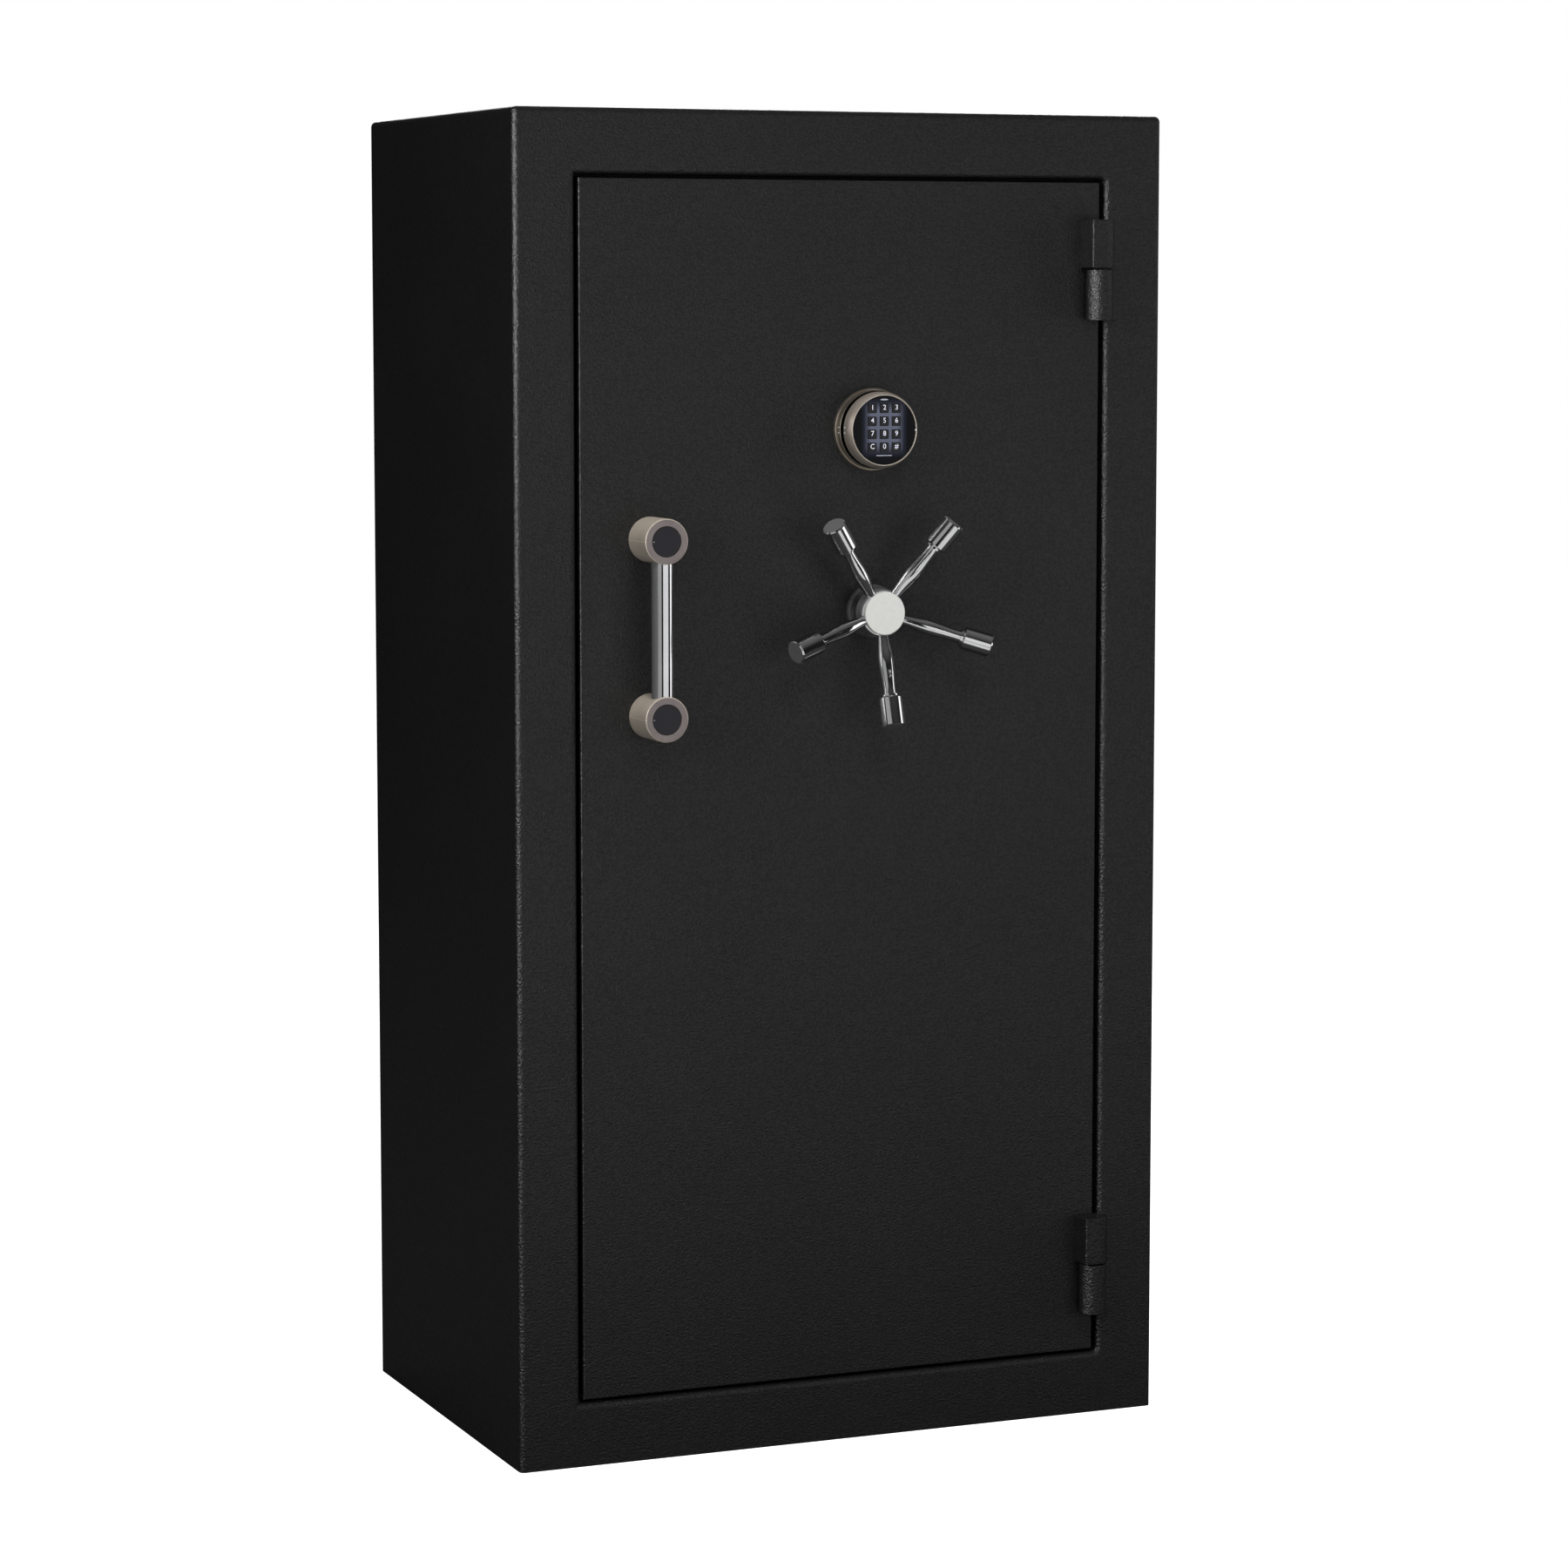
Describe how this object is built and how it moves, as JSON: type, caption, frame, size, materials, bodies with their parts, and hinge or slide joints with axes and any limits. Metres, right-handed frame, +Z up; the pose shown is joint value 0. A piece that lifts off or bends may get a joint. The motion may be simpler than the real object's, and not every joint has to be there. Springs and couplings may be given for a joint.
{
  "type": "gun safe",
  "caption": "Tall fire-lined steel gun safe with an outside-hinged door, five-spoke bolt handle, round keypad lock with a turning ring, tube pull handle and a carpeted rack and shelf interior.",
  "frame": {"origin": "centre of the base, on the floor", "axes": "+X to the right of someone facing the door, +Y from the door to the back, +Z up"},
  "size_m": [0.864, 0.6485, 1.657],
  "materials": {
    "body_coat": "fine pebbled black powder coat, satin",
    "bare_sheet": "plain rolled steel",
    "hard_steel": "ground hardened steel",
    "carriage_steel": "zinc-plated flat bar",
    "bolt_chrome": "bright chromed locking bolts",
    "spoke_chrome": "polished chrome",
    "cap_satin": "satin light grey metal",
    "escutcheon_grey": "dark satin grey",
    "satin_nickel": "satin bronze nickel",
    "cap_black": "black inserts",
    "keypad_face": "smooth blue-black face",
    "key_black": "moulded keys",
    "bearing_brass": "turned brass",
    "lock_grey": "die-cast lock body",
    "fire_board": "off-white gypsum board",
    "seal_rubber": "swelling seal strip",
    "carpet": "short grey pile",
    "standard_zinc": "zinc slotted strip"
  },
  "bodies": {
    "root": {"outer_shell": "body_coat", "front_frame": "body_coat", "door_jamb": "body_coat", "fire_board": "fire_board", "inner_liner": "bare_sheet", "wall_lining": "carpet", "fire_seal": "seal_rubber", "frame_hinge_knuckles": "body_coat", "hinge_pins": "hard_steel", "thrust_washers": "bearing_brass", "top_shelf": "carpet", "center_divider": "carpet", "shelf_standards": "standard_zinc", "side_shelves": "carpet", "barrel_rack": "carpet"},
    "door": {"door_plate": "body_coat", "door_pan": "bare_sheet", "door_fire_board": "fire_board", "hard_plate": "hard_steel", "lock_mounting_plate": "bare_sheet", "door_back_panel": "bare_sheet", "door_lining": "carpet", "door_hinge_knuckles": "body_coat", "pull_handle_posts": "satin_nickel", "pull_handle_tube": "spoke_chrome", "pull_handle_caps": "cap_black", "keypad_base": "satin_nickel", "keypad_core": "keypad_face", "handle_escutcheon": "escutcheon_grey", "shaft_bushing": "bearing_brass", "guide_studs": "carriage_steel", "lock_case": "lock_grey"},
    "handle": {"handle_hub": "spoke_chrome", "hub_cap": "cap_satin", "handle_spokes": "spoke_chrome", "handle_shaft": "hard_steel", "drive_pinion": "carriage_steel"},
    "left_bolt_set": {"left_carriage": "carriage_steel", "left_bolts": "bolt_chrome"},
    "right_bolt_set": {"right_carriage": "carriage_steel", "right_bolts": "bolt_chrome"},
    "top_bolt_set": {"top_carriage": "carriage_steel", "top_bolts": "bolt_chrome"},
    "bottom_bolt_set": {"bottom_carriage": "carriage_steel", "bottom_bolts": "bolt_chrome"},
    "dial": {"dial_ring": "satin_nickel", "dial_spindle": "hard_steel"},
    "lock_slide": {"lock_bolt": "lock_grey"},
    "key_1": {"key_1": "key_black"},
    "key_2": {"key_2": "key_black"},
    "key_3": {"key_3": "key_black"},
    "key_4": {"key_4": "key_black"},
    "key_5": {"key_5": "key_black"},
    "key_6": {"key_6": "key_black"},
    "key_7": {"key_7": "key_black"},
    "key_8": {"key_8": "key_black"},
    "key_9": {"key_9": "key_black"},
    "key_clear": {"key_clear": "key_black"},
    "key_0": {"key_0": "key_black"},
    "key_enter": {"key_enter": "key_black"}
  },
  "joints": [
    {"name": "door_swing", "type": "hinge", "parent": "root", "child": "door", "pos_m": [0.3375, -0.301, 0.8], "axis": [0, 0, 1], "range_deg": [0, 175]},
    {"name": "handle_turn", "type": "hinge", "parent": "door", "child": "handle", "pos_m": [0.0335, -0.2825, 1.0436], "axis": [0, -1, 0], "range_deg": [0, 71.6]},
    {"name": "dial_turn", "type": "hinge", "parent": "door", "child": "dial", "pos_m": [0.0335, -0.2825, 1.2685], "axis": [0, -1, 0], "range_deg": [0, 57.2]},
    {"name": "throw_left", "type": "slide", "parent": "door", "child": "left_bolt_set", "axis": [-1, 0, 0], "range_m": [0, 0.0301]},
    {"name": "throw_right", "type": "slide", "parent": "door", "child": "right_bolt_set", "axis": [1, 0, 0], "range_m": [0, 0.0301]},
    {"name": "throw_top", "type": "slide", "parent": "door", "child": "top_bolt_set", "axis": [0, 0, 1], "range_m": [0, 0.0301]},
    {"name": "throw_bottom", "type": "slide", "parent": "door", "child": "bottom_bolt_set", "axis": [0, 0, -1], "range_m": [0, 0.0301]},
    {"name": "lock_throw", "type": "slide", "parent": "door", "child": "lock_slide", "axis": [0, 0, -1], "range_m": [0, 0.0121]},
    {"name": "key_1_press", "type": "slide", "parent": "door", "child": "key_1", "axis": [0, 1, 0], "range_m": [0, 0.001], "stiffness_N_per_m": 400},
    {"name": "key_2_press", "type": "slide", "parent": "door", "child": "key_2", "axis": [0, 1, 0], "range_m": [0, 0.001], "stiffness_N_per_m": 400},
    {"name": "key_3_press", "type": "slide", "parent": "door", "child": "key_3", "axis": [0, 1, 0], "range_m": [0, 0.001], "stiffness_N_per_m": 400},
    {"name": "key_4_press", "type": "slide", "parent": "door", "child": "key_4", "axis": [0, 1, 0], "range_m": [0, 0.001], "stiffness_N_per_m": 400},
    {"name": "key_5_press", "type": "slide", "parent": "door", "child": "key_5", "axis": [0, 1, 0], "range_m": [0, 0.001], "stiffness_N_per_m": 400},
    {"name": "key_6_press", "type": "slide", "parent": "door", "child": "key_6", "axis": [0, 1, 0], "range_m": [0, 0.001], "stiffness_N_per_m": 400},
    {"name": "key_7_press", "type": "slide", "parent": "door", "child": "key_7", "axis": [0, 1, 0], "range_m": [0, 0.001], "stiffness_N_per_m": 400},
    {"name": "key_8_press", "type": "slide", "parent": "door", "child": "key_8", "axis": [0, 1, 0], "range_m": [0, 0.001], "stiffness_N_per_m": 400},
    {"name": "key_9_press", "type": "slide", "parent": "door", "child": "key_9", "axis": [0, 1, 0], "range_m": [0, 0.001], "stiffness_N_per_m": 400},
    {"name": "key_clear_press", "type": "slide", "parent": "door", "child": "key_clear", "axis": [0, 1, 0], "range_m": [0, 0.001], "stiffness_N_per_m": 400},
    {"name": "key_0_press", "type": "slide", "parent": "door", "child": "key_0", "axis": [0, 1, 0], "range_m": [0, 0.001], "stiffness_N_per_m": 400},
    {"name": "key_enter_press", "type": "slide", "parent": "door", "child": "key_enter", "axis": [0, 1, 0], "range_m": [0, 0.001], "stiffness_N_per_m": 400}
  ],
  "couplings": [
    {"joint": "throw_left", "follows": "handle_turn", "m_per_rad": 0.024},
    {"joint": "throw_right", "follows": "handle_turn", "m_per_rad": 0.024},
    {"joint": "throw_top", "follows": "handle_turn", "m_per_rad": 0.024},
    {"joint": "throw_bottom", "follows": "handle_turn", "m_per_rad": 0.024},
    {"joint": "lock_throw", "follows": "dial_turn", "m_per_rad": 0.012}
  ]
}
